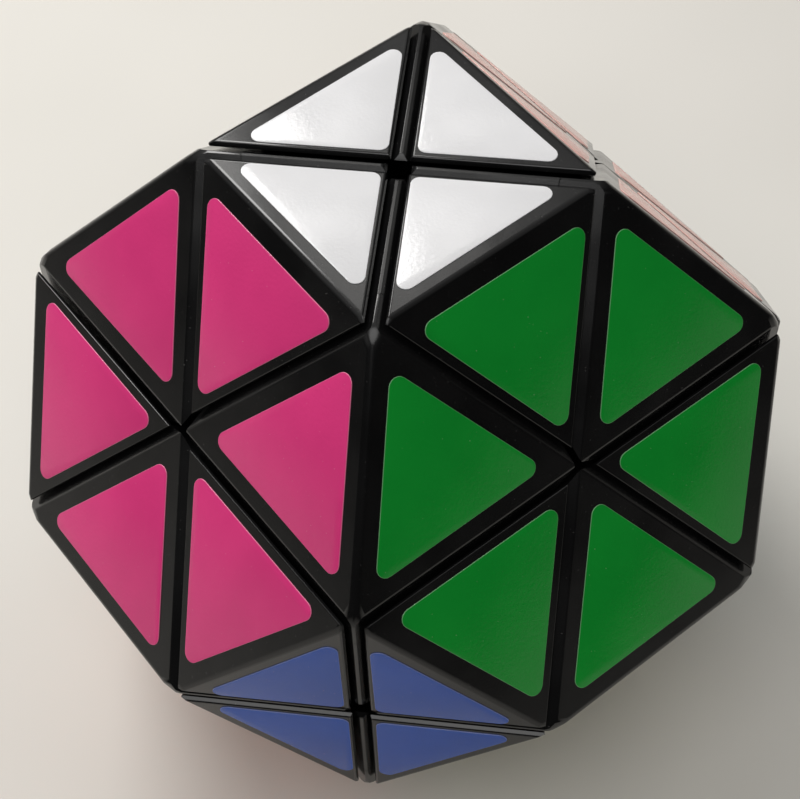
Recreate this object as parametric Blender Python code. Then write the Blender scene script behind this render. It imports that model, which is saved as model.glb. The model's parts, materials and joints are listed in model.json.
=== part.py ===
"""An edge-turning puzzle in the shape of a truncated octahedron.

Twelve edge pieces are screwed to a twelve-armed core, and twenty-four petals are held between them
by feet that run under the edge pieces' necks. The layer of each edge piece turns about the line from
the core's centre through that edge, so every surface that slides is a surface of revolution about it.
Metres, +Z up, with the core's centre at the origin.
"""

import math
from itertools import product

import bmesh
import bpy
from mathutils import Matrix, Vector

MM = 0.001

# Driving sizes
WIDTH = 65 * MM  # between opposite square faces
GAP = 0.3 * MM  # between pieces that slide on or sit against each other
EDGE_CHAMFER = 0.35 * MM  # taken off each outer edge
FIN_DROP = 0.4 * MM  # how far an edge piece's thin ends stay below the square faces
FIN_TIP = 1.2 * MM  # cut off the point of each thin end

# Neck and foot of every piece, as cones and spheres about a turning axis
NECK_ANGLE = math.radians(33)
FOOT_ANGLE = math.radians(40)
FOOT_TOP = 24.5 * MM
FOOT_BOTTOM = 21 * MM
FOOT_UNDERCUT = 1.5 * MM  # how far the space cut for a foot reaches under it

# Core, screws and the edge pieces' pockets, measured along a turning axis from the centre
HUB_FLAT = 8.75 * MM  # centre to each of the hub's twelve flat faces
POST_RADIUS = 3.4 * MM
POST_START = 6.75 * MM  # inside the hub, and far enough out that the posts stay clear of each other
POST_END = 20 * MM
BORE_RADIUS = 1.55 * MM
BORE_START = 7.5 * MM
SHANK_RADIUS = 1.25 * MM
SHANK_START = 8 * MM
POINT_RADIUS = SHANK_RADIUS / 2
HEAD_RADIUS = 2.8 * MM
HEAD_EDGE = HEAD_RADIUS / 4  # taken off the head's upper edge
HEAD_BOTTOM = 27.2 * MM
HEAD_TOP = 28.8 * MM
FLOOR_HOLE_RADIUS = 1.6 * MM
FLOOR_TOP = 22.6 * MM
POCKET_RADIUS = 3.6 * MM
POCKET_TOP = 30.4 * MM

# Snap-on cover of an edge piece
COVER_THICKNESS = 2.2 * MM
PEG_RADIUS = 1.2 * MM
PEG_LENGTH = 2.6 * MM
PEG_OFFSET = 7 * MM

# Worked out from the sizes above
UNIT = WIDTH / 4  # the corners lie at the permutations of (0, 1, 2) times this, with any signs
HEXAGON = math.sqrt(3) * UNIT  # centre to a hexagonal face
CUT = math.sqrt(2) * UNIT  # centre to the flat part of each cut
RIDGE = 3 * UNIT / math.sqrt(2)  # centre to the middle of an edge between two hexagons
ROOF = math.sqrt(1 / 2)  # how far the outer faces fall along an axis for each step sideways
SLOPE = math.sqrt(1 + ROOF**2)
SEAM = RIDGE - COVER_THICKNESS * SLOPE  # height of the cover's underside at the ridge
SEAM_GAP = GAP * SLOPE
FAR = 2 * WIDTH

# The first of each kind of piece is modelled on this axis, among these neighbours
FIRST_AXIS = Vector((1, 0, 1)).normalized()
FIRST_SIDEWAYS = Vector((0, 1, 0))
FIRST_NEIGHBOURS = ((0, 1, 1), (0, -1, 1), (1, 1, 0), (1, -1, 0))

# Facets
CONE_SIDES = 24
ROUND_SIDES = 12
ARC_STEPS = 2
FLAT_ENOUGH = math.radians(0.02)
WELD = 0.001 * MM

# Linear colour, roughness and metallic value of each material
BLACK_ABS = ((0.012, 0.012, 0.013), 0.38, 0.0)
WHITE_NYLON = ((0.72, 0.71, 0.66), 0.5, 0.0)
ZINC_STEEL = ((0.62, 0.62, 0.6), 0.3, 1.0)

SIDES = {"x": ("r", "l"), "y": ("b", "f"), "z": ("u", "d")}
SIDE_ORDER = "udfbrl"
AXES = "xyz"


def side_name(axis, sign):
    return SIDES[AXES[axis]][0 if sign > 0 else 1]


def joined_name(sides):
    return "".join(sorted(sides, key=SIDE_ORDER.index))


def unit_vector(axis, sign=1):
    vector = Vector((0, 0, 0))
    vector[axis] = sign
    return vector


def turn_to(local_x, local_z):
    """The rotation that carries +X and +Z to these two directions."""
    local_y = local_z.cross(local_x)
    return Matrix((local_x, local_y, local_z)).transposed().to_4x4()


def principled(name, color, roughness, metallic):
    material = bpy.data.materials.new(name)
    material.use_nodes = True
    shader = material.node_tree.nodes["Principled BSDF"]
    shader.inputs["Base Color"].default_value = (*color, 1)
    shader.inputs["Roughness"].default_value = roughness
    shader.inputs["Metallic"].default_value = metallic
    material.diffuse_color = (*color, 1)
    return material


def add_object(name, mesh, matrix=None):
    obj = bpy.data.objects.new(name, mesh)
    bpy.context.scene.collection.objects.link(obj)
    if matrix is not None:
        obj.matrix_world = matrix
    return obj


def merge_flat_faces(shape):
    """Joins faces that lie in one plane, which keeps every later cut clean."""
    bmesh.ops.dissolve_limit(
        shape, angle_limit=FLAT_ENOUGH, verts=shape.verts, edges=shape.edges
    )


def object_from(name, shape):
    bmesh.ops.recalc_face_normals(shape, faces=shape.faces)
    merge_flat_faces(shape)
    mesh = bpy.data.meshes.new(name)
    shape.to_mesh(mesh)
    shape.free()
    return add_object(name, mesh)


def convex_solid(name, planes):
    """What is left of a large cube behind each (outward direction, distance) plane."""
    shape = bmesh.new()
    bmesh.ops.create_cube(shape, size=FAR)
    for direction, distance in planes:
        normal = Vector(direction).normalized()
        everything = shape.verts[:] + shape.edges[:] + shape.faces[:]
        cut = bmesh.ops.bisect_plane(
            shape,
            geom=everything,
            plane_co=normal * distance,
            plane_no=normal,
            clear_outer=True,
        )
        rim = [part for part in cut["geom_cut"] if isinstance(part, bmesh.types.BMEdge)]
        if rim:
            bmesh.ops.edgenet_fill(shape, edges=rim)
    return object_from(name, shape)


def turned_solid(name, profile, sides):
    """A closed outline of (radius, height) points, from the Z axis back to it, spun about that axis."""
    shape = bmesh.new()
    points = [shape.verts.new((radius, 0, height)) for radius, height in profile]
    edges = [shape.edges.new(pair) for pair in zip(points, points[1:])]
    bmesh.ops.spin(
        shape,
        geom=points + edges,
        cent=(0, 0, 0),
        axis=(0, 0, 1),
        angle=2 * math.pi,
        steps=sides,
        use_merge=True,
    )
    bmesh.ops.remove_doubles(shape, verts=shape.verts, dist=WELD)
    return object_from(name, shape)


def rod(name, radius, bottom, top, sides=ROUND_SIDES):
    outline = [(0, bottom), (radius, bottom), (radius, top), (0, top)]
    return turned_solid(name, outline, sides)


def apply_boolean(target, operation, other):
    """Bakes an exact Boolean into the target's mesh and removes the other object."""
    modifier = target.modifiers.new(operation, "BOOLEAN")
    modifier.operation = operation
    modifier.solver = "EXACT"
    modifier.object = other
    bpy.context.view_layer.update()
    graph = bpy.context.evaluated_depsgraph_get()
    mesh = bpy.data.meshes.new_from_object(target.evaluated_get(graph))
    shape = bmesh.new()
    shape.from_mesh(mesh)
    merge_flat_faces(shape)
    shape.to_mesh(mesh)
    shape.free()
    target.modifiers.clear()
    target.data = mesh
    bpy.data.objects.remove(other)


def finished_mesh(obj):
    """The object's mesh, with its placement baked in, for any number of nodes to share."""
    mesh = obj.data
    mesh.transform(obj.matrix_world)
    bpy.data.objects.remove(obj)
    return mesh


# Layers


def cone_point(angle, radius, offset):
    """Where a cone from the centre, moved out by the offset, reaches this distance from the centre."""
    along = math.sqrt(radius**2 - offset**2)
    return (
        along * math.sin(angle) + offset * math.cos(angle),
        along * math.cos(angle) - offset * math.sin(angle),
    )


def layer_solid(direction, offset):
    """Everything that turns about one axis: the flat cut, its neck and its foot, grown by the offset."""
    bottom = FOOT_BOTTOM if offset < 0 else FOOT_BOTTOM - FOOT_UNDERCUT
    top = FOOT_TOP + offset
    floor = CUT - offset
    along = (floor + offset * math.sin(NECK_ANGLE)) / math.cos(NECK_ANGLE)
    neck_end = (along * math.sin(NECK_ANGLE) + offset * math.cos(NECK_ANGLE), floor)
    under = [
        (bottom * math.sin(angle), bottom * math.cos(angle))
        for angle in (FOOT_ANGLE * step / ARC_STEPS for step in range(ARC_STEPS))
    ]
    outline = [
        *under,
        cone_point(FOOT_ANGLE, bottom, offset),
        cone_point(FOOT_ANGLE, top, offset),
        cone_point(NECK_ANGLE, top, offset),
        neck_end,
        (WIDTH, floor),
        (WIDTH, WIDTH),
        (0, WIDTH),
    ]
    solid = turned_solid("layer", outline, CONE_SIDES)
    axis = Vector(direction).normalized()
    solid.matrix_world = turn_to(axis.orthogonal().normalized(), axis)
    return solid


def outer_solid():
    """The truncated octahedron with its edges chamfered."""
    squares = [(unit_vector(axis, sign), 2 * UNIT) for axis in range(3) for sign in (1, -1)]
    hexagons = [(Vector(signs), HEXAGON) for signs in product((1, -1), repeat=3)]
    planes = squares + hexagons
    for index, (first, _) in enumerate(hexagons):
        for second, _ in hexagons[index + 1 :]:
            if first.dot(second) > 0:
                planes.append((first + second, RIDGE - EDGE_CHAMFER))
    for square, square_distance in squares:
        for hexagon, hexagon_distance in hexagons:
            if square.dot(hexagon) > 0:
                middle = square + hexagon.normalized()
                edge_distance = (square_distance + hexagon_distance) / middle.length
                planes.append((middle, edge_distance - EDGE_CHAMFER))
    return convex_solid("outer", planes)


# Pieces


def petal_mesh():
    piece = layer_solid((1, 0, 1), -GAP / 2)
    apply_boolean(piece, "INTERSECT", layer_solid((0, 1, 1), -GAP / 2))
    apply_boolean(piece, "DIFFERENCE", layer_solid((1, 1, 0), GAP / 2))
    apply_boolean(piece, "INTERSECT", outer_solid())
    return finished_mesh(piece)


def edge_solid():
    """An edge piece with no pocket and no seam, standing on the first axis."""
    piece = layer_solid(FIRST_AXIS, -GAP / 2)
    for neighbour in FIRST_NEIGHBOURS:
        apply_boolean(piece, "DIFFERENCE", layer_solid(neighbour, GAP / 2))
    apply_boolean(piece, "INTERSECT", outer_solid())
    fins = [
        ((1, 0, 0), 2 * UNIT - FIN_DROP),
        ((0, 0, 1), 2 * UNIT - FIN_DROP),
        ((1, 0, -1), CUT - FIN_TIP),
        ((-1, 0, 1), CUT - FIN_TIP),
    ]
    apply_boolean(piece, "INTERSECT", convex_solid("fins", fins))
    return piece


def roof_solid(ridge):
    """Everything under two planes that run parallel to the outer faces and meet at this height."""
    planes = [
        (FIRST_AXIS + ROOF * FIRST_SIDEWAYS, ridge / SLOPE),
        (FIRST_AXIS - ROOF * FIRST_SIDEWAYS, ridge / SLOPE),
    ]
    return convex_solid("roof", planes)


def on_first_axis(solid, along_edge=0.0):
    """Stands a solid modelled along Z on the first axis, moved this far along the outer edge."""
    edge_line = FIRST_SIDEWAYS.cross(FIRST_AXIS)
    place = Matrix.Translation(edge_line * along_edge)
    solid.matrix_world = place @ turn_to(edge_line, FIRST_AXIS)
    return solid


def hollow_for_screw(piece, top):
    pocket = rod("pocket", POCKET_RADIUS, FLOOR_TOP, top)
    apply_boolean(piece, "DIFFERENCE", on_first_axis(pocket))
    hole = rod("hole", FLOOR_HOLE_RADIUS, POST_END, FLOOR_TOP + GAP)
    apply_boolean(piece, "DIFFERENCE", on_first_axis(hole))


def edge_base_mesh():
    piece = edge_solid()
    apply_boolean(piece, "INTERSECT", roof_solid(SEAM - SEAM_GAP))
    hollow_for_screw(piece, RIDGE)
    for side in (-PEG_OFFSET, PEG_OFFSET):
        socket = rod("socket", PEG_RADIUS + GAP, SEAM - PEG_LENGTH - 2 * GAP, RIDGE)
        apply_boolean(piece, "DIFFERENCE", on_first_axis(socket, side))
    return finished_mesh(piece)


def edge_cover_mesh():
    piece = edge_solid()
    apply_boolean(piece, "DIFFERENCE", roof_solid(SEAM))
    for side in (-PEG_OFFSET, PEG_OFFSET):
        peg = rod("peg", PEG_RADIUS, SEAM - PEG_LENGTH, SEAM + COVER_THICKNESS / 2)
        apply_boolean(piece, "UNION", on_first_axis(peg, side))
    return finished_mesh(piece)


def glued_edge_mesh():
    piece = edge_solid()
    hollow_for_screw(piece, POCKET_TOP)
    return finished_mesh(piece)


def screw_mesh():
    outline = [
        (0, SHANK_START),
        (POINT_RADIUS, SHANK_START),
        (SHANK_RADIUS, SHANK_START + POINT_RADIUS),
        (SHANK_RADIUS, HEAD_BOTTOM),
        (HEAD_RADIUS, HEAD_BOTTOM),
        (HEAD_RADIUS, HEAD_TOP - HEAD_EDGE),
        (HEAD_RADIUS - HEAD_EDGE, HEAD_TOP),
        (0, HEAD_TOP),
    ]
    return finished_mesh(on_first_axis(turned_solid("screw", outline, ROUND_SIDES)))


def core_mesh(turns):
    """A hub with a bored post along each turning axis."""
    core = convex_solid("core", [(turn @ FIRST_AXIS, HUB_FLAT) for turn in turns])
    for turn in turns:
        post = on_first_axis(rod("post", POST_RADIUS, POST_START, POST_END))
        post.matrix_world = turn @ post.matrix_world
        apply_boolean(core, "UNION", post)
    for turn in turns:
        bore = on_first_axis(rod("bore", BORE_RADIUS, BORE_START, POST_END + GAP))
        bore.matrix_world = turn @ bore.matrix_world
        apply_boolean(core, "DIFFERENCE", bore)
    return finished_mesh(core)


# Places


def edge_places():
    """(name, rotation) of each edge between two hexagons."""
    for first, last in ((0, 2), (1, 2), (0, 1)):
        for first_sign, last_sign in product((1, -1), repeat=2):
            sides = [side_name(first, first_sign), side_name(last, last_sign)]
            turn = turn_to(unit_vector(first, first_sign), unit_vector(last, last_sign))
            yield joined_name(sides), turn


def petal_places():
    """(name, rotation) of each petal: its hexagon's three sides, then the side of its square."""
    for signs in product((1, -1), repeat=3):
        sides = [side_name(axis, sign) for axis, sign in enumerate(signs)]
        for square in range(3):
            upward = unit_vector(square, signs[square])
            others = [unit_vector(axis, signs[axis]) for axis in range(3) if axis != square]
            if upward.cross(others[0]).dot(others[1]) < 0:
                others.reverse()
            name = f"{joined_name(sides)}_{sides[square]}"
            yield name, turn_to(others[0], upward)


def add_node(name, mesh, material, turn=None):
    obj = add_object(name, mesh, turn)
    if not mesh.materials:
        mesh.materials.append(material)
    return obj


def main():
    for obj in list(bpy.data.objects):
        bpy.data.objects.remove(obj)
    black = principled("black_abs", *BLACK_ABS)
    nylon = principled("white_nylon", *WHITE_NYLON)
    steel = principled("zinc_steel", *ZINC_STEEL)

    edges = list(edge_places())
    base, cover, glued = edge_base_mesh(), edge_cover_mesh(), glued_edge_mesh()
    screw, petal = screw_mesh(), petal_mesh()
    add_node("core", core_mesh([turn for _, turn in edges]), nylon)
    for name, turn in edges:
        add_node(f"screw_{name}", screw, steel, turn)
        if set(name) & set("ud"):
            add_node(f"edge_base_{name}", base, black, turn)
            add_node(f"edge_cover_{name}", cover, black, turn)
        else:
            add_node(f"edge_{name}", glued, black, turn)
    for name, turn in petal_places():
        add_node(f"petal_{name}", petal, black, turn)


main()
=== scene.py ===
"""The looks of the edge-turning puzzle: moulded black pieces with rounded edges, 72 vinyl stickers,
and the springs, washers and screws inside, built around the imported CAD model. Metres, +Z up."""

import json
import math
import random
from itertools import product

import bmesh
import bpy
from mathutils import Matrix, Vector


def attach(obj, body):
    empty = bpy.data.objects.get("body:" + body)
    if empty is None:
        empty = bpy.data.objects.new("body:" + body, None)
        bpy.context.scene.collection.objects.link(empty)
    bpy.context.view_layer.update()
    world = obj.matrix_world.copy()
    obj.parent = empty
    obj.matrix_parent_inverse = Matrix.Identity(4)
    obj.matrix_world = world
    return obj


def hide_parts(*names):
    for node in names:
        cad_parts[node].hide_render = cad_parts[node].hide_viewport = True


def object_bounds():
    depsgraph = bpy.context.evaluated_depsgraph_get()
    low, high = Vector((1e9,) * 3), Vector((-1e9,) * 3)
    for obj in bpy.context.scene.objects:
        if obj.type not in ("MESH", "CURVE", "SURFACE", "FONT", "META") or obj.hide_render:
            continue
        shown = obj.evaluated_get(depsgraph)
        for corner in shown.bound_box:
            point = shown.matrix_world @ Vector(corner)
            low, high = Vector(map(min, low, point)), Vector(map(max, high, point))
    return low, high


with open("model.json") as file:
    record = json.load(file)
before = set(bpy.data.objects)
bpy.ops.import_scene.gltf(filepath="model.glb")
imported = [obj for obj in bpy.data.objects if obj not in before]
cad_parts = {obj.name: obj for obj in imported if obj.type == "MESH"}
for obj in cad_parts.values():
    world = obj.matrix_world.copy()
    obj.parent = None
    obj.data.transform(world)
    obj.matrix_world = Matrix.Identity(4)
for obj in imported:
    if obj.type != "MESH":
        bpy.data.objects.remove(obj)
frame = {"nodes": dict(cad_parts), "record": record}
cad_low, cad_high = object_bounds()

MM = 0.001
random.seed(12)

# Sizes that follow the CAD model
WIDTH = cad_high.z - cad_low.z  # between opposite square faces
UNIT = WIDTH / 4  # the corners lie at the permutations of (0, 1, 2) times this, with any signs
CORNER = math.sqrt(5) * UNIT  # centre to a corner
HEXAGON = math.sqrt(3) * UNIT  # centre to a hexagonal face
CUT = math.sqrt(2) * UNIT  # centre to the flat part of each cut
RIDGE = 3 * UNIT / math.sqrt(2)  # centre to the middle of an edge between two hexagons
ROOF = math.sqrt(1 / 2)  # how far the outer faces fall along an axis for each step sideways
FAR = 2 * WIDTH
GAP = 0.3 * MM
FIN_DROP = 0.34 * MM  # how far the ends of an edge piece lie under the square faces
FIN_TIP = 1.2 * MM
NECK_ANGLE = math.radians(33)
FOOT_ANGLE = math.radians(40)
FOOT_TOP = 24.5 * MM
FOOT_BOTTOM = 21 * MM
STEM_CLEARANCE = GAP / 2 + 0.03 * MM
STEM_DEPTH = 0.7 * MM  # how far a stem stays inside the outer faces
EDGE_OVERLAP = 0.45 * MM  # how far a stem runs on into the outer part above it
PETAL_OVERLAP = 1.8 * MM
FOOT_UNDERCUT = 10 * STEM_CLEARANCE
COVER_THICKNESS = 2.2 * MM
SEAM = RIDGE - COVER_THICKNESS * math.sqrt(1 + ROOF**2)
SEAM_GAP = 0.05 * MM
PEG_RADIUS = 1.2 * MM
PEG_LENGTH = 2.6 * MM
PEG_OFFSET = 7 * MM
POST_END = 20 * MM
FLOOR_TOP = 22.6 * MM
FLOOR_HOLE_RADIUS = 1.6 * MM
POCKET_RADIUS = 3.6 * MM
POCKET_TOP = 30.4 * MM
SHANK_RADIUS = 1.25 * MM
SHANK_START = 8 * MM
HEAD_RADIUS = 2.8 * MM
HEAD_BOTTOM = 27.2 * MM
HEAD_TOP = 28.8 * MM

# Where the first edge piece goes: its axis, the way across its outer edge, and the axes beside it
FIRST_AXIS = Vector((1, 0, 1)).normalized()
FIRST_SIDEWAYS = Vector((0, 1, 0))
FIRST_NEIGHBOURS = ((0, 1, 1), (0, -1, 1), (1, 1, 0), (1, -1, 0))

# Screws, springs and washers
PITCH = 0.8 * MM
THREAD_ROOT = SHANK_RADIUS * 0.82
THREAD_FLANK = PITCH * 0.3  # half the thread's height at its root
THREAD_BURIED = THREAD_ROOT * 0.9
POINT_RADIUS = THREAD_ROOT * 0.5
POINT_HEIGHT = THREAD_ROOT * 0.6
# (share of the head's radius, height over its underside) of its rounded side
HEAD_CURVE = ((1, 0.35 * MM), (0.94, 0.85 * MM), (0.74, 1.25 * MM), (0.4, 1.55 * MM))
CROSS_RECESS = (3.2 * MM, 0.6 * MM, 1.8 * MM)
SPRING_WIRE = 0.28 * MM
SPRING_RADIUS = 2.3 * MM
SPRING_TURNS = 5
WASHER_THICKNESS = 0.5 * MM
WASHER_BORE = 1.4 * MM
WASHER_SLACK = 0.02 * MM

# Stickers
STICKER = 0.08 * MM  # thickness; the top lies at the CAD model's outer face
STICKER_RIM = 0.04 * MM  # rounded rim
HEXAGON_OUTER_BORDER = 1.85 * MM
HEXAGON_CUT_BORDER = 1.65 * MM
HEXAGON_CORNER = 0.85 * MM
SQUARE_OUTER_BORDER = 1.2 * MM
SQUARE_CUT_BORDER = 1.2 * MM
SQUARE_CORNER = 0.75 * MM
STICKER_SLIP = 0.15 * MM  # how far a hand-laid sticker is off its place
STICKER_TWIST = math.radians(0.8)

# Rounding of the moulded pieces: radii, and how deep an edge or a tip is cut flat first
RIDGE_RADIUS = 0.9 * MM
EDGE_WALL_RADIUS = 0.6 * MM
PETAL_RIDGE_RADIUS = 0.9 * MM
WALL_RADIUS = 0.5 * MM
CHAMFER_RADIUS = 0.12 * MM
HEXAGON_CHAMFER = 0.5 * MM
SQUARE_CHAMFER = 0.6 * MM
SQUARE_RADIUS = 0.3 * MM
PETAL_TIP = 0.7 * MM
PETAL_TIP_RADIUS = 1 * MM
EDGE_TIP = 0.6 * MM
EDGE_TIP_RADIUS = 2.2 * MM
FIN_RADIUS = 0.07 * MM
FIN_END_RADIUS = 0.4 * MM
ROUNDING_STEP = math.radians(15)

# Facets
CONE_SIDES = 96
ROUND_SIDES = 32
ARC_STEPS = 8
CORNER_STEPS = 6
RIM_STEPS = 3
THREAD_STEPS = 16
SPRING_STEPS = 28
WIRE_SIDES = 10
FLAT_ENOUGH = math.radians(0.02)
SHARP_MOULDING = math.radians(30)
SHARP_STICKER = math.radians(40)
WELD = MM / 1000

# Camera and light
CAMERA_AZIMUTH = math.radians(8.4)
CAMERA_ELEVATION = math.radians(56)
CAMERA_ROLL = math.radians(-1.9)
CAMERA_DISTANCE = 168.8 * MM
CAMERA_AIM = Vector((-0.5, -0.4, -0.2)) * MM
CAMERA_LENS = 81.2
CAMERA_RANGE = (0.01, 10)

SKY_COLOR = (1, 0.99, 0.97, 1)
SKY_HORIZON = 0.03
SKY_ZENITH = 0.55
SKY_BRIGHTEST = Vector((-0.25, 0.4, 0.88)).normalized()
SKY_DARK_BELOW = 0.2  # the cosine from there where the sky starts to brighten
FLOOR_SIZE = 4  # metres from the middle to each side
# (name, azimuth and elevation in degrees, distance and diameter in metres, watts, colour)
LAMPS = (
    ("window", 223, 50, 0.35, 0.17, 0.84, (1, 0.985, 0.96)),
    ("fill", -8, 62, 0.6, 0.42, 1.1, (1, 0.99, 0.98)),
    ("ceiling", 189, 54, 0.9, 0.14, 0.14, (1, 0.98, 0.95)),
)

# Materials: linear colours, sizes of what noise makes, and depths of bumps
PIECE_SHIFT = (1, 0.7, 0.4)  # metres, times a random share for each piece
BLACK = ((0.0032, 0.0032, 0.0034), (0.0055, 0.0055, 0.0057))
BLACK_DUST = (0.16, 0.155, 0.15)
BLACK_SPECK = 0.16 * MM
BLACK_CLOUD = 9 * MM
BLACK_RIPPLE = 5 * MM
BLACK_GRAIN = 0.22 * MM
BLACK_GRAIN_DEPTH = 0.0015 * MM
SWELL_DEPTH = 0.03 * MM
VINYL_DUST = (0.6, 0.59, 0.57)
VINYL_SPECK = 0.14 * MM
VINYL_CLOUD = 7 * MM
VINYL_SWELL = 4 * MM
VINYL_SKIN = 0.3 * MM
VINYL_SKIN_DEPTH = 0.012 * MM
VINYL_DARKER = 0.93
VINYL_PALE = 0.9  # what a cut edge fades towards
VINYL_FADE = 0.2
NYLON = ((0.66, 0.65, 0.6), (0.74, 0.73, 0.68))
NYLON_CLOUD = 6 * MM
NYLON_GRAIN = 0.3 * MM
NYLON_GRAIN_DEPTH = 0.01 * MM
ZINC = ((0.52, 0.53, 0.55), (0.68, 0.68, 0.67))
ZINC_CLOUD = 2 * MM
PAPER = ((216, 213, 207), (222, 219, 213))  # sRGB
PAPER_CLOUD = 60 * MM

SIDES = {"x": ("r", "l"), "y": ("b", "f"), "z": ("u", "d")}
SIDE_ORDER = "udfbrl"
AXES = "xyz"

# sRGB colour of each face. The object shows white, blue, magenta, green and a red seen only at a
# grazing angle.
# The rest are guesses.
FACE_COLORS = {
    "u": (219, 219, 221),
    "f": (30, 82, 182),
    "ufl": (222, 60, 128),
    "ufr": (18, 156, 52),
    # ubr: partly its own red and partly painted reflection. The red is painted paler, towards grey,
    # to stand in for the sheen its stickers show at a grazing angle.
    "ubr": (212, 146, 132),
    "ubl": (112, 190, 70),
    "d": (242, 206, 40),
    "b": (90, 50, 140),
    "l": (120, 200, 232),
    "r": (150, 152, 156),
    "dfl": (236, 118, 44),
    "dfr": (206, 204, 150),
    "dbl": (122, 74, 44),
    "dbr": (20, 140, 140),
}


# Names and directions


def side_name(axis, sign):
    return SIDES[AXES[axis]][0 if sign > 0 else 1]


def joined_name(sides):
    return "".join(sorted(sides, key=SIDE_ORDER.index))


def unit_vector(axis, sign=1):
    vector = Vector((0, 0, 0))
    vector[axis] = sign
    return vector


def turn_to(local_x, local_z):
    """The rotation that carries +X and +Z to these two directions."""
    local_y = local_z.cross(local_x)
    return Matrix((local_x, local_y, local_z)).transposed().to_4x4()


def edge_places():
    """(name, rotation) of each edge between two hexagons."""
    for first, last in ((0, 2), (1, 2), (0, 1)):
        for first_sign, last_sign in product((1, -1), repeat=2):
            sides = [side_name(first, first_sign), side_name(last, last_sign)]
            turn = turn_to(unit_vector(first, first_sign), unit_vector(last, last_sign))
            yield joined_name(sides), turn


def petal_places():
    """(hexagon, square, rotation) of each petal."""
    for signs in product((1, -1), repeat=3):
        sides = [side_name(axis, sign) for axis, sign in enumerate(signs)]
        for square in range(3):
            upward = unit_vector(square, signs[square])
            others = [unit_vector(axis, signs[axis]) for axis in range(3) if axis != square]
            if upward.cross(others[0]).dot(others[1]) < 0:
                others.reverse()
            yield joined_name(sides), sides[square], turn_to(others[0], upward)


def face_of(turn, direction):
    """The name of the square or hexagon that this direction points at once turned."""
    turned = turn @ Vector(direction)
    along = [axis for axis in range(3) if abs(turned[axis]) > 0.5]
    return joined_name([side_name(axis, turned[axis]) for axis in along])


def body_holding(node):
    """The body that a CAD node belongs to."""
    for body, nodes in frame["record"]["behaviour"]["bodies"].items():
        if node in nodes:
            return body
    raise ValueError(node)


# Solids


def merge_flat_faces(shape):
    bmesh.ops.dissolve_limit(
        shape, angle_limit=FLAT_ENOUGH, verts=shape.verts, edges=shape.edges
    )


def object_from(name, shape):
    mesh = bpy.data.meshes.new(name)
    shape.to_mesh(mesh)
    shape.free()
    obj = bpy.data.objects.new(name, mesh)
    bpy.context.scene.collection.objects.link(obj)
    return obj


def evaluated_mesh(obj):
    bpy.context.view_layer.update()
    graph = bpy.context.evaluated_depsgraph_get()
    mesh = bpy.data.meshes.new_from_object(obj.evaluated_get(graph))
    obj.modifiers.clear()
    obj.data = mesh
    return mesh


def convex_solid(name, planes):
    """What is left of a large cube behind (outward direction, distance from the centre) planes."""
    shape = bmesh.new()
    bmesh.ops.create_cube(shape, size=FAR)
    for direction, distance in planes:
        normal = Vector(direction).normalized()
        everything = shape.verts[:] + shape.edges[:] + shape.faces[:]
        cut = bmesh.ops.bisect_plane(
            shape,
            geom=everything,
            plane_co=normal * distance,
            plane_no=normal,
            clear_outer=True,
        )
        rim = [part for part in cut["geom_cut"] if isinstance(part, bmesh.types.BMEdge)]
        if rim:
            bmesh.ops.edgenet_fill(shape, edges=rim)
    bmesh.ops.recalc_face_normals(shape, faces=shape.faces)
    return object_from(name, shape)


def rounded(first, second, radius):
    """Planes that round the edge between two planes."""
    start, stop = (Vector(direction).normalized() for direction, _ in (first, second))
    whole = start.angle(stop)
    count = math.ceil(whole / ROUNDING_STEP)
    planes = []
    for step in range(1, count):
        part = whole * step / count
        near, far = math.sin(whole - part) / math.sin(whole), math.sin(part) / math.sin(whole)
        distance = near * (first[1] - radius) + far * (second[1] - radius) + radius
        planes.append((start * near + stop * far, distance))
    return planes


def chamfered(first, second, depth, first_radius, second_radius):
    """Planes that cut the edge between two planes flat and round what that leaves."""
    across = Vector(first[0]).normalized() + Vector(second[0]).normalized()
    flat = (across, (first[1] + second[1]) / across.length - depth)
    return [flat, *rounded(first, flat, first_radius), *rounded(flat, second, second_radius)]


def tip_cut(corner, depth, radius, *faces):
    """Planes that cut a corner of the whole shape flat and round it towards these faces."""
    flat = (corner, CORNER - depth)
    return [flat, *(plane for face in faces for plane in rounded(face, flat, radius))]


def turned_solid(name, profile, sides):
    """An outline of (radius, height) points, from the Z axis back to it, spun about that axis."""
    shape = bmesh.new()
    points = [shape.verts.new((radius, 0, height)) for radius, height in profile]
    edges = [shape.edges.new(pair) for pair in zip(points, points[1:])]
    bmesh.ops.spin(
        shape,
        geom=points + edges,
        cent=(0, 0, 0),
        axis=(0, 0, 1),
        angle=2 * math.pi,
        steps=sides,
        use_merge=True,
    )
    bmesh.ops.remove_doubles(shape, verts=shape.verts, dist=WELD)
    bmesh.ops.recalc_face_normals(shape, faces=shape.faces)
    merge_flat_faces(shape)
    return object_from(name, shape)


def rod(name, radius, bottom, top):
    outline = [(0, bottom), (radius, bottom), (radius, top), (0, top)]
    return turned_solid(name, outline, ROUND_SIDES)


def apply_boolean(target, operation, other):
    modifier = target.modifiers.new(operation, "BOOLEAN")
    modifier.operation = operation
    modifier.solver = "EXACT"
    modifier.object = other
    mesh = evaluated_mesh(target)
    shape = bmesh.new()
    shape.from_mesh(mesh)
    merge_flat_faces(shape)
    shape.to_mesh(mesh)
    shape.free()
    bpy.data.objects.remove(other)


def finished_mesh(obj):
    """The object's mesh in place, smooth over its roundings, with its flat faces shaded flat."""
    obj.data.transform(obj.matrix_world)
    obj.matrix_world = Matrix()
    obj.data.shade_smooth()
    obj.data.set_sharp_from_angle(angle=SHARP_MOULDING)
    normals = obj.modifiers.new("Normals", "WEIGHTED_NORMAL")
    normals.keep_sharp = True
    mesh = evaluated_mesh(obj)
    bpy.data.objects.remove(obj)
    return mesh


# Moulded pieces, modelled where the first of each kind goes


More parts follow.
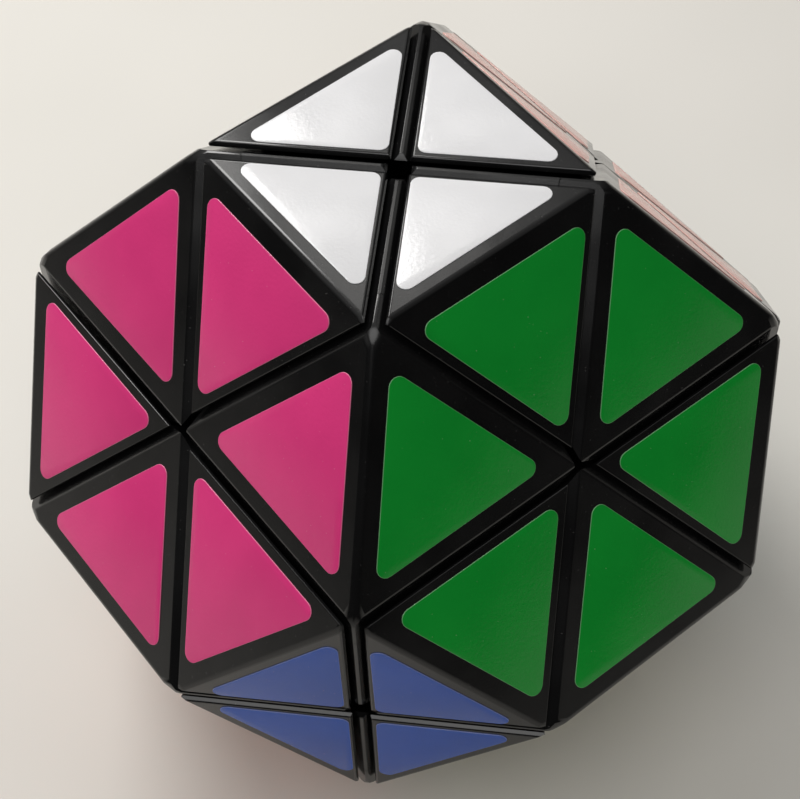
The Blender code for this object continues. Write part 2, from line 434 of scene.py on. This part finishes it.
def cone_point(angle, radius, offset):
    along = math.sqrt(radius**2 - offset**2)
    return (
        along * math.sin(angle) + offset * math.cos(angle),
        along * math.cos(angle) - offset * math.sin(angle),
    )


def stem_outline(offset):
    """The outline of a layer's foot and neck, up to its flat cut."""
    bottom = FOOT_BOTTOM if offset < 0 else FOOT_BOTTOM - FOOT_UNDERCUT
    top = FOOT_TOP + offset
    floor = CUT - offset
    along = (floor + offset * math.sin(NECK_ANGLE)) / math.cos(NECK_ANGLE)
    under = [
        (bottom * math.sin(angle), bottom * math.cos(angle))
        for angle in (FOOT_ANGLE * step / ARC_STEPS for step in range(ARC_STEPS))
    ]
    return [
        *under,
        cone_point(FOOT_ANGLE, bottom, offset),
        cone_point(FOOT_ANGLE, top, offset),
        cone_point(NECK_ANGLE, top, offset),
        (along * math.sin(NECK_ANGLE) + offset * math.cos(NECK_ANGLE), floor),
    ]


def layer_solid(direction, offset, above):
    """A layer's foot and neck, with a cylinder this high or, for None, everything over them."""
    outline = stem_outline(offset)
    rim = WIDTH if above is None else outline[-1][0]
    top = WIDTH if above is None else outline[-1][1] + above
    outline += [(WIDTH, outline[-1][1])] if above is None else []
    solid = turned_solid("layer", [*outline, (rim, top), (0, top)], CONE_SIDES)
    axis = Vector(direction).normalized()
    solid.matrix_world = turn_to(axis.orthogonal().normalized(), axis)
    return solid


def buried_solid():
    """The whole shape, shrunk, which keeps a stem from coming through an outer face."""
    sides = [unit_vector(axis, sign) for axis in range(3) for sign in (1, -1)]
    squares = [(side, 2 * UNIT - STEM_DEPTH) for side in sides]
    hexagons = [(signs, HEXAGON - STEM_DEPTH) for signs in product((1, -1), repeat=3)]
    return convex_solid("buried", squares + hexagons)


def petal_mesh():
    square = ((0, 0, 1), 2 * UNIT - STICKER)
    hexagon = ((1, 1, 1), HEXAGON - STICKER)
    walls = [((-1, 0, -1), -CUT - GAP / 2), ((0, -1, -1), -CUT - GAP / 2)]
    planes = [square, hexagon, *walls]
    planes += rounded(square, hexagon, PETAL_RIDGE_RADIUS) + rounded(*walls, WALL_RADIUS)
    for wall in walls:
        planes += chamfered(square, wall, SQUARE_CHAMFER, SQUARE_RADIUS, CHAMFER_RADIUS)
        planes += chamfered(hexagon, wall, HEXAGON_CHAMFER, CHAMFER_RADIUS, CHAMFER_RADIUS)
    for corner in ((1, 0, 2), (0, 1, 2)):
        planes += tip_cut(corner, PETAL_TIP, PETAL_TIP_RADIUS, square, hexagon)
    piece = convex_solid("petal", planes)
    stem = layer_solid((1, 0, 1), -STEM_CLEARANCE, PETAL_OVERLAP)
    apply_boolean(stem, "INTERSECT", layer_solid((0, 1, 1), -STEM_CLEARANCE, PETAL_OVERLAP))
    apply_boolean(stem, "DIFFERENCE", layer_solid((1, 1, 0), STEM_CLEARANCE, None))
    apply_boolean(stem, "INTERSECT", buried_solid())
    apply_boolean(piece, "UNION", stem)
    return finished_mesh(piece)


def edge_wedge():
    """The outer part of an edge piece, hollowed where the petals beside it reach under it."""
    hexagons = [((1, 1, 1), HEXAGON - STICKER), ((1, -1, 1), HEXAGON - STICKER)]
    walls = [(neighbour, CUT - GAP / 2) for neighbour in FIRST_NEIGHBOURS]
    fins = [((0, 0, 1), 2 * UNIT - FIN_DROP), ((1, 0, 0), 2 * UNIT - FIN_DROP)]
    ends = [((-1, 0, 1), CUT - FIN_TIP), ((1, 0, -1), CUT - FIN_TIP)]
    corners = ((1, 0, 2), (2, 0, 1))
    seat = ((-1, 0, -1), -CUT - GAP / 2)
    planes = [*hexagons, *walls, *fins, *ends, seat, *rounded(*hexagons, RIDGE_RADIUS)]
    for wall, hexagon in zip(walls, hexagons * 2):
        planes += rounded(hexagon, wall, EDGE_WALL_RADIUS)
    for fin, end, corner, sides in zip(fins, ends, corners, (walls[:2], walls[2:])):
        planes += rounded(fin, end, FIN_END_RADIUS)
        planes += tip_cut(corner, EDGE_TIP, EDGE_TIP_RADIUS, fin, *hexagons)
        for wall in sides:
            planes += rounded(fin, wall, FIN_RADIUS)
    wedge = convex_solid("wedge", planes)
    for neighbour in FIRST_NEIGHBOURS:
        apply_boolean(wedge, "DIFFERENCE", layer_solid(neighbour, STEM_CLEARANCE, EDGE_OVERLAP))
    return wedge


def edge_solid():
    piece = edge_wedge()
    stem = layer_solid(FIRST_AXIS, -STEM_CLEARANCE, EDGE_OVERLAP)
    for neighbour in FIRST_NEIGHBOURS:
        apply_boolean(stem, "DIFFERENCE", layer_solid(neighbour, STEM_CLEARANCE, None))
    apply_boolean(stem, "INTERSECT", buried_solid())
    apply_boolean(piece, "UNION", stem)
    return piece


def roof_solid(ridge):
    """Everything under two planes that run parallel to the outer faces and meet at this height."""
    slope = math.sqrt(1 + ROOF**2)
    sides = [(FIRST_AXIS + ROOF * FIRST_SIDEWAYS * side, ridge / slope) for side in (1, -1)]
    return convex_solid("roof", sides)


def on_first_axis(solid, along_edge=0.0):
    """Stands a solid modelled along Z on the first axis, moved this far along the outer edge."""
    edge_line = FIRST_SIDEWAYS.cross(FIRST_AXIS)
    place = Matrix.Translation(edge_line * along_edge)
    solid.matrix_world = place @ turn_to(edge_line, FIRST_AXIS)
    return solid


def hollow_for_screw(piece, top):
    apply_boolean(piece, "DIFFERENCE", on_first_axis(rod("pocket", POCKET_RADIUS, FLOOR_TOP, top)))
    hole = rod("hole", FLOOR_HOLE_RADIUS, POST_END, FLOOR_TOP + GAP)
    apply_boolean(piece, "DIFFERENCE", on_first_axis(hole))


def edge_base_mesh():
    piece = edge_solid()
    apply_boolean(piece, "INTERSECT", roof_solid(SEAM - SEAM_GAP))
    hollow_for_screw(piece, RIDGE)
    for side in (-PEG_OFFSET, PEG_OFFSET):
        socket = rod("socket", PEG_RADIUS + GAP, SEAM - PEG_LENGTH - 2 * GAP, RIDGE)
        apply_boolean(piece, "DIFFERENCE", on_first_axis(socket, side))
    return finished_mesh(piece)


def edge_cover_mesh():
    piece = edge_wedge()
    apply_boolean(piece, "DIFFERENCE", roof_solid(SEAM))
    for side in (-PEG_OFFSET, PEG_OFFSET):
        peg = rod("peg", PEG_RADIUS, SEAM - PEG_LENGTH, SEAM + 2 * GAP)
        apply_boolean(piece, "UNION", on_first_axis(peg, side))
    return finished_mesh(piece)


def glued_edge_mesh():
    piece = edge_solid()
    hollow_for_screw(piece, POCKET_TOP)
    return finished_mesh(piece)


# Stickers


def inset_triangle(corners, borders):
    """The triangle with each side moved in by its border. Side i runs from corner i to the next."""
    lines = []
    for index, start in enumerate(corners):
        along = (corners[(index + 1) % 3] - start).normalized()
        inward = Vector((-along.y, along.x))
        lines.append((start + inward * borders[index], along))
    moved = []
    for index in range(3):
        (p, d), (q, e) = lines[index - 1], lines[index]
        reach = (q - p).cross(e) / d.cross(e)
        moved.append(p + d * reach)
    return moved


def rounded_outline(corners, radius):
    """The triangle's outline, anticlockwise, with each corner an arc of this radius."""
    points = []
    for index, corner in enumerate(corners):
        before = (corners[index - 1] - corner).normalized()
        after = (corners[(index + 1) % 3] - corner).normalized()
        half = before.angle(after) / 2
        centre = corner + (before + after).normalized() * (radius / math.sin(half))
        start = corner + before * (radius / math.tan(half)) - centre
        sweep = math.pi - 2 * half
        for step in range(CORNER_STEPS + 1):
            turn = Matrix.Rotation(sweep * step / CORNER_STEPS, 2)
            points.append(centre + turn @ start)
    return points


def sticker_mesh(corners, borders, radius):
    """A thin plate with rounded corners and rim, and its place on a face with these corners."""
    normal = (corners[1] - corners[0]).cross(corners[2] - corners[0]).normalized()
    centre = sum(corners, Vector()) / 3
    flat_x = (corners[1] - corners[0]).normalized()
    flat_y = normal.cross(flat_x)
    flat = [Vector(((c - centre).dot(flat_x), (c - centre).dot(flat_y))) for c in corners]
    rim = [(0, -STICKER), (0, -STICKER_RIM)]
    rim += [
        (STICKER_RIM * (1 - math.cos(angle)), -STICKER_RIM * (1 - math.sin(angle)))
        for angle in (math.pi / 2 * (step + 1) / RIM_STEPS for step in range(RIM_STEPS))
    ]
    shape = bmesh.new()
    on_rim = shape.verts.layers.float.new("rim")
    loops = []
    for inward, height in rim:
        triangle = inset_triangle(flat, [border + inward for border in borders])
        outline = rounded_outline(triangle, radius - inward)
        loops.append([shape.verts.new((p.x, p.y, height)) for p in outline])
    for lower, upper in zip(loops, loops[1:]):
        for index in range(len(lower)):
            after = (index + 1) % len(lower)
            shape.faces.new((lower[index], lower[after], upper[after], upper[index]))
    shape.faces.new(loops[-1])
    shape.faces.new(loops[0][::-1])
    for loop in loops[:-1]:
        for vert in loop:
            vert[on_rim] = 1
    mesh = bpy.data.meshes.new("sticker")
    shape.to_mesh(mesh)
    shape.free()
    mesh.shade_smooth()
    mesh.set_sharp_from_angle(angle=SHARP_STICKER)
    place = Matrix.Translation(centre) @ turn_to(flat_x, normal)
    return mesh, place


def corner_points(*points):
    return [Vector(point) * UNIT for point in points]


# The direction of the face that each sticker of a piece is on, and the sticker's mesh and place
PETAL_STICKERS = {
    "hexagon": (
        (1, 1, 1),
        sticker_mesh(
            corner_points((1, 0, 2), (1, 1, 1), (0, 1, 2)),
            (HEXAGON_CUT_BORDER, HEXAGON_CUT_BORDER, HEXAGON_OUTER_BORDER),
            HEXAGON_CORNER,
        ),
    ),
    "square": (
        (0, 0, 1),
        sticker_mesh(
            corner_points((1, 0, 2), (0, 1, 2), (0, 0, 2)),
            (SQUARE_OUTER_BORDER, SQUARE_CUT_BORDER, SQUARE_CUT_BORDER),
            SQUARE_CORNER,
        ),
    ),
}
EDGE_STICKERS = [
    (
        corners[-1],
        sticker_mesh(
            corner_points(*corners),
            (HEXAGON_OUTER_BORDER, HEXAGON_CUT_BORDER, HEXAGON_CUT_BORDER),
            HEXAGON_CORNER,
        ),
    )
    for corners in (((1, 0, 2), (2, 0, 1), (1, 1, 1)), ((2, 0, 1), (1, 0, 2), (1, -1, 1)))
]


# Fasteners


def tube_through(shape, name, rings):
    """The closed tube whose skin runs from each ring of points to the next."""
    for lower, upper in zip(rings, rings[1:]):
        for index in range(len(lower)):
            after = (index + 1) % len(lower)
            shape.faces.new((lower[index], lower[after], upper[after], upper[index]))
    shape.faces.new(rings[0])
    shape.faces.new(rings[-1][::-1])
    bmesh.ops.recalc_face_normals(shape, faces=shape.faces)
    return object_from(name, shape)


def thread_solid():
    """A helical ridge that fades in and out over a turn."""
    shape = bmesh.new()
    turns = int((HEAD_BOTTOM - SHANK_START - 2 * PITCH) / PITCH)
    rings = []
    for step in range(turns * THREAD_STEPS + 1):
        angle = 2 * math.pi * step / THREAD_STEPS
        height = SHANK_START + PITCH * step / THREAD_STEPS
        taper = min(1, step / THREAD_STEPS, (turns * THREAD_STEPS - step) / THREAD_STEPS)
        crest = THREAD_ROOT + (SHANK_RADIUS - THREAD_ROOT) * taper
        ring = [
            (THREAD_BURIED, height - THREAD_FLANK),
            (crest, height),
            (THREAD_BURIED, height + THREAD_FLANK),
        ]
        rings.append([
            shape.verts.new((radius * math.cos(angle), radius * math.sin(angle), z))
            for radius, z in ring
        ])
    return tube_through(shape, "thread", rings)


def screw_mesh():
    """A pan head with a cross recess, on a shank with a helical thread."""
    outline = [
        (0, SHANK_START - THREAD_ROOT),
        (POINT_RADIUS, SHANK_START - POINT_HEIGHT),
        (THREAD_ROOT, SHANK_START),
        (THREAD_ROOT, HEAD_BOTTOM),
        (HEAD_RADIUS, HEAD_BOTTOM),
        *((HEAD_RADIUS * share, HEAD_BOTTOM + height) for share, height in HEAD_CURVE),
        (0, HEAD_TOP),
    ]
    screw = turned_solid("screw", outline, ROUND_SIDES)
    for quarter in (0, 1):
        slot = bmesh.new()
        bmesh.ops.create_cube(slot, size=1)
        bmesh.ops.scale(slot, verts=slot.verts, vec=CROSS_RECESS)
        cutter = object_from("slot", slot)
        turn = Matrix.Rotation(quarter * math.pi / 2, 4, "Z")
        cutter.matrix_world = Matrix.Translation((0, 0, HEAD_TOP)) @ turn
        apply_boolean(screw, "DIFFERENCE", cutter)
    apply_boolean(screw, "UNION", thread_solid())
    return finished_mesh(on_first_axis(screw))


def spring_mesh():
    """A compression spring with closed ends, between the pocket's floor and the washer."""
    bottom = FLOOR_TOP + SPRING_WIRE
    top = HEAD_BOTTOM - WASHER_THICKNESS - SPRING_WIRE
    wire = [
        Vector((math.cos(angle), math.sin(angle), 0)) * SPRING_WIRE
        for angle in (2 * math.pi * step / WIRE_SIDES for step in range(WIRE_SIDES))
    ]
    shape = bmesh.new()
    rings = []
    turns = SPRING_TURNS + 2
    steps = SPRING_STEPS * turns
    for step in range(steps + 1):
        turned = turns * step / steps
        climb = min(max(turned - 1, 0), SPRING_TURNS) / SPRING_TURNS
        angle = 2 * math.pi * turned
        outward = Vector((math.cos(angle), math.sin(angle), 0))
        closed = 2 * SPRING_WIRE * (min(turned, 1) + max(turned - SPRING_TURNS - 1, 0))
        height = bottom + closed + (top - bottom - 4 * SPRING_WIRE) * climb
        centre = outward * SPRING_RADIUS + Vector((0, 0, height))
        rings.append([shape.verts.new(centre + outward * p.x + Vector((0, 0, p.y))) for p in wire])
    return finished_mesh(on_first_axis(tube_through(shape, "spring", rings)))


def washer_mesh():
    bottom = HEAD_BOTTOM - WASHER_THICKNESS
    washer = rod("washer", HEAD_RADIUS, bottom + WASHER_SLACK, HEAD_BOTTOM - WASHER_SLACK)
    apply_boolean(washer, "DIFFERENCE", rod("bore", WASHER_BORE, 0, WIDTH))
    return finished_mesh(on_first_axis(washer))


# Materials


class Shader:
    """A new material with a Principled shader, and short ways to add and join nodes."""

    def __init__(self, name):
        self.material = bpy.data.materials.new(name)
        self.material.use_nodes = True
        self.tree = self.material.node_tree
        self.principled = self.tree.nodes["Principled BSDF"]

    def node(self, kind, **settings):
        made = self.tree.nodes.new(kind)
        for key, value in settings.items():
            setattr(made, key, value)
        return made

    def join(self, output, node_input):
        self.tree.links.new(output, node_input)

    def use(self, name, output):
        """Feeds another node's output to one of the shader's inputs."""
        self.join(output, self.principled.inputs[name])

    def set(self, **values):
        for name, value in values.items():
            self.principled.inputs[name.replace("_", " ")].default_value = value

    def places(self):
        """Object coordinates, shifted by a different amount on each piece."""
        coordinates = self.node("ShaderNodeTexCoord")
        info = self.node("ShaderNodeObjectInfo")
        shift = self.node("ShaderNodeVectorMath", operation="SCALE")
        shift.inputs[0].default_value = PIECE_SHIFT
        self.join(info.outputs["Random"], shift.inputs["Scale"])
        add = self.node("ShaderNodeVectorMath", operation="ADD")
        self.join(coordinates.outputs["Object"], add.inputs[0])
        self.join(shift.outputs[0], add.inputs[1])
        return add.outputs[0]

    def noise(self, places, size, detail=2.0, roughness=0.5):
        """Smooth noise whose bumps are about this size, in metres."""
        noise = self.node("ShaderNodeTexNoise")
        noise.inputs["Scale"].default_value = 1 / size
        noise.inputs["Detail"].default_value = detail
        noise.inputs["Roughness"].default_value = roughness
        self.join(places, noise.inputs["Vector"])
        return noise.outputs["Fac"]

    def ramp(self, value, low, high, start=0.35, stop=0.65):
        """Maps a value between start and stop to a number between low and high."""
        ramp = self.node("ShaderNodeMapRange")
        ramp.inputs["From Min"].default_value = start
        ramp.inputs["From Max"].default_value = stop
        ramp.inputs["To Min"].default_value = low
        ramp.inputs["To Max"].default_value = high
        self.join(value, ramp.inputs["Value"])
        return ramp.outputs["Result"]

    def mix(self, share, first, second):
        """A colour between two colours, each a colour or another node's output."""
        mix = self.node("ShaderNodeMix", data_type="RGBA")
        self.join(share, mix.inputs["Factor"])
        for color, socket in ((first, mix.inputs[6]), (second, mix.inputs[7])):
            if isinstance(color, bpy.types.NodeSocket):
                self.join(color, socket)
            else:
                socket.default_value = (*color, 1)
        return mix.outputs[2]

    def bump(self, height, distance, strength=1.0, under=None):
        bump = self.node("ShaderNodeBump")
        bump.inputs["Distance"].default_value = distance
        bump.inputs["Strength"].default_value = strength
        self.join(height, bump.inputs["Height"])
        if under is not None:
            self.join(under, bump.inputs["Normal"])
        return bump.outputs["Normal"]


def linear(color):
    """An sRGB colour of 0 to 255 as the linear values that a shader takes."""
    return tuple(
        (c / 255 / 12.92) if c / 255 <= 0.04045 else ((c / 255 + 0.055) / 1.055) ** 2.4
        for c in color
    )


def black_plastic():
    """Glossy moulded plastic: slow ripples, a fine grain and a few specks of dust."""
    shader = Shader("black_abs")
    places = shader.places()
    cloud = shader.noise(places, BLACK_CLOUD, detail=3)
    grain = shader.noise(places, BLACK_GRAIN, detail=2)
    ripple = shader.noise(places, BLACK_RIPPLE, detail=1)
    dust = shader.ramp(shader.noise(places, BLACK_SPECK, detail=0), 0, 0.3, 0.82, 0.86)
    color = shader.mix(shader.ramp(cloud, 0, 1), *BLACK)
    shader.use("Base Color", shader.mix(dust, color, BLACK_DUST))
    shader.use("Roughness", shader.ramp(cloud, 0.15, 0.24))
    soft = shader.bump(ripple, SWELL_DEPTH)
    shader.use("Normal", shader.bump(grain, BLACK_GRAIN_DEPTH, under=soft))
    shader.set(Specular_IOR_Level=0.45)
    return shader.material


def vinyl(name, color):
    """Sticker vinyl: a faint orange peel, specks of dust and a paler cut edge."""
    shader = Shader(f"vinyl_{name}")
    base = linear(color)
    places = shader.places()
    cloud = shader.noise(places, VINYL_CLOUD, detail=2)
    skin = shader.noise(places, VINYL_SKIN, detail=1)
    swell = shader.noise(places, VINYL_SWELL, detail=1)
    dust = shader.ramp(shader.noise(places, VINYL_SPECK, detail=0), 0, 0.35, 0.87, 0.9)
    darker = tuple(VINYL_DARKER * channel for channel in base)
    paler = tuple(channel + VINYL_FADE * (VINYL_PALE - channel) for channel in base)
    face = shader.mix(shader.ramp(cloud, 0, 1), darker, base)
    dusty = shader.mix(dust, face, VINYL_DUST)
    rim = shader.node("ShaderNodeAttribute", attribute_name="rim")
    shader.use("Base Color", shader.mix(rim.outputs["Fac"], dusty, paler))
    shader.use("Roughness", shader.ramp(cloud, 0.15, 0.22))
    shader.set(Specular_IOR_Level=0.4)
    soft = shader.bump(swell, SWELL_DEPTH)
    shader.use("Normal", shader.bump(skin, VINYL_SKIN_DEPTH, under=soft))
    return shader.material


def nylon():
    shader = Shader("white_nylon")
    places = shader.places()
    cloud = shader.noise(places, NYLON_CLOUD, detail=3)
    shader.use("Base Color", shader.mix(shader.ramp(cloud, 0, 1), *NYLON))
    shader.use("Roughness", shader.ramp(cloud, 0.42, 0.55))
    grain = shader.noise(places, NYLON_GRAIN)
    shader.use("Normal", shader.bump(grain, NYLON_GRAIN_DEPTH))
    shader.set(Subsurface_Weight=0.15, Subsurface_Scale=1.5 * MM)
    return shader.material


def zinc_steel():
    shader = Shader("zinc_steel")
    cloud = shader.noise(shader.places(), ZINC_CLOUD, detail=3)
    shader.use("Base Color", shader.mix(shader.ramp(cloud, 0, 1), *ZINC))
    shader.use("Roughness", shader.ramp(cloud, 0.22, 0.4))
    shader.set(Metallic=1.0)
    return shader.material


def floor_paper():
    shader = Shader("floor_paper")
    cloud = shader.noise(shader.places(), PAPER_CLOUD, detail=2)
    shader.use("Base Color", shader.mix(shader.ramp(cloud, 0, 1), *map(linear, PAPER)))
    shader.set(Roughness=0.75)
    return shader.material


# Assembly


def add_piece(name, mesh, matrix, material, body, slot=None, *stands_for):
    piece = bpy.data.objects.new(name, mesh)
    bpy.context.scene.collection.objects.link(piece)
    piece.matrix_world = matrix
    if not mesh.materials:
        mesh.materials.append(material)
    piece.material_slots[0].link = "OBJECT"
    piece.material_slots[0].material = material
    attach(piece, body)
    if stands_for:
        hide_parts(*stands_for)


def add_sticker(name, made, turn, material, body):
    """Lays a sticker a hair off its place and a little askew, as a hand would."""
    mesh, place = made
    along = random.uniform(-1, 1) * STICKER_SLIP
    across = random.uniform(-1, 1) * STICKER_SLIP
    slip = Matrix.Translation((along, across, 0))
    twist = Matrix.Rotation(random.uniform(-1, 1) * STICKER_TWIST, 4, "Z")
    laid = mesh.copy()
    laid.transform(turn @ place @ slip @ twist)
    add_piece(name, laid, Matrix(), material, body)


def add_petals(black, vinyls):
    mesh = petal_mesh()
    for hexagon, square, turn in petal_places():
        name = f"{hexagon}_{square}"
        node = f"petal_{name}"
        body = body_holding(node)
        add_piece(f"petal_moulding_{name}", mesh, turn, black, body, "black_abs", node)
        for kind, (direction, made) in PETAL_STICKERS.items():
            vinyl_here = vinyls[face_of(turn, direction)]
            add_sticker(f"sticker_{name}_{kind}", made, turn, vinyl_here, body)


def add_edges(black, steel, vinyls):
    base, cover, glued = edge_base_mesh(), edge_cover_mesh(), glued_edge_mesh()
    screw, spring, washer = screw_mesh(), spring_mesh(), washer_mesh()
    for name, turn in edge_places():
        if f"edge_{name}" in frame["nodes"]:
            mouldings = [("edge_moulding", glued, f"edge_{name}")]
        else:
            mouldings = [
                ("base_moulding", base, f"edge_base_{name}"),
                ("cover_moulding", cover, f"edge_cover_{name}"),
            ]
        body = body_holding(mouldings[0][2])
        for kind, mesh, node in mouldings:
            add_piece(f"{kind}_{name}", mesh, turn, black, body, "black_abs", node)
        for direction, made in EDGE_STICKERS:
            face = face_of(turn, direction)
            add_sticker(f"sticker_{name}_{face}", made, turn, vinyls[face], body)
        node = f"screw_{name}"
        add_piece(f"machine_screw_{name}", screw, turn, steel, "core", "zinc_steel", node)
        add_piece(f"spring_{name}", spring, turn, steel, "core", "zinc_steel")
        add_piece(f"washer_{name}", washer, turn, steel, "core", "zinc_steel")


def look_from(azimuth, elevation):
    return Vector((
        math.sin(azimuth) * math.cos(elevation),
        -math.cos(azimuth) * math.cos(elevation),
        math.sin(elevation),
    ))


def add_camera():
    data = bpy.data.cameras.new("camera")
    data.lens = CAMERA_LENS
    data.clip_start, data.clip_end = CAMERA_RANGE
    camera = bpy.data.objects.new("camera", data)
    bpy.context.scene.collection.objects.link(camera)
    back = look_from(CAMERA_AZIMUTH, CAMERA_ELEVATION)
    turn = (-back).to_track_quat("-Z", "Y").to_matrix().to_4x4()
    place = Matrix.Translation(CAMERA_AIM + back * CAMERA_DISTANCE)
    camera.matrix_world = place @ turn @ Matrix.Rotation(CAMERA_ROLL, 4, "Z")
    bpy.context.scene.camera = camera


def add_lamp(name, azimuth, elevation, distance, size, watts, color):
    data = bpy.data.lights.new(name, "AREA")
    data.shape = "DISK"
    data.size = size
    data.energy = watts
    data.color = color
    lamp = bpy.data.objects.new(name, data)
    bpy.context.scene.collection.objects.link(lamp)
    toward = look_from(math.radians(azimuth), math.radians(elevation))
    lamp.location = toward * distance
    lamp.rotation_euler = toward.to_track_quat("Z", "Y").to_euler()


def add_floor():
    shape = bmesh.new()
    bmesh.ops.create_grid(shape, x_segments=1, y_segments=1, size=FLOOR_SIZE)
    floor = object_from("floor", shape)
    floor.location.z = cad_low.z
    floor.data.materials.append(floor_paper())


def add_sky():
    """A sky that is brightest in one direction and dark towards the far horizon."""
    world = bpy.data.worlds.new("studio")
    world.use_nodes = True
    tree = world.node_tree
    background = tree.nodes["Background"]
    background.inputs["Color"].default_value = SKY_COLOR
    toward = tree.nodes.new("ShaderNodeVectorMath")
    toward.operation = "DOT_PRODUCT"
    toward.inputs[1].default_value = SKY_BRIGHTEST
    tree.links.new(tree.nodes.new("ShaderNodeTexCoord").outputs["Generated"], toward.inputs[0])
    glow = tree.nodes.new("ShaderNodeMapRange")
    glow.interpolation_type = "SMOOTHSTEP"
    glow.inputs["From Min"].default_value = SKY_DARK_BELOW
    glow.inputs["To Min"].default_value = SKY_HORIZON
    glow.inputs["To Max"].default_value = SKY_ZENITH
    tree.links.new(toward.outputs["Value"], glow.inputs["Value"])
    tree.links.new(glow.outputs["Result"], background.inputs["Strength"])
    bpy.context.scene.world = world


def main():
    add_camera()
    black, steel = black_plastic(), zinc_steel()
    vinyls = {face: vinyl(face, color) for face, color in FACE_COLORS.items()}
    add_petals(black, vinyls)
    add_edges(black, steel, vinyls)
    core = frame["nodes"]["core"]
    core.data.materials.clear()
    core.data.materials.append(nylon())
    add_floor()
    add_sky()
    for lamp in LAMPS:
        add_lamp(*lamp)
    bpy.context.scene.view_settings.view_transform = "Standard"


main()
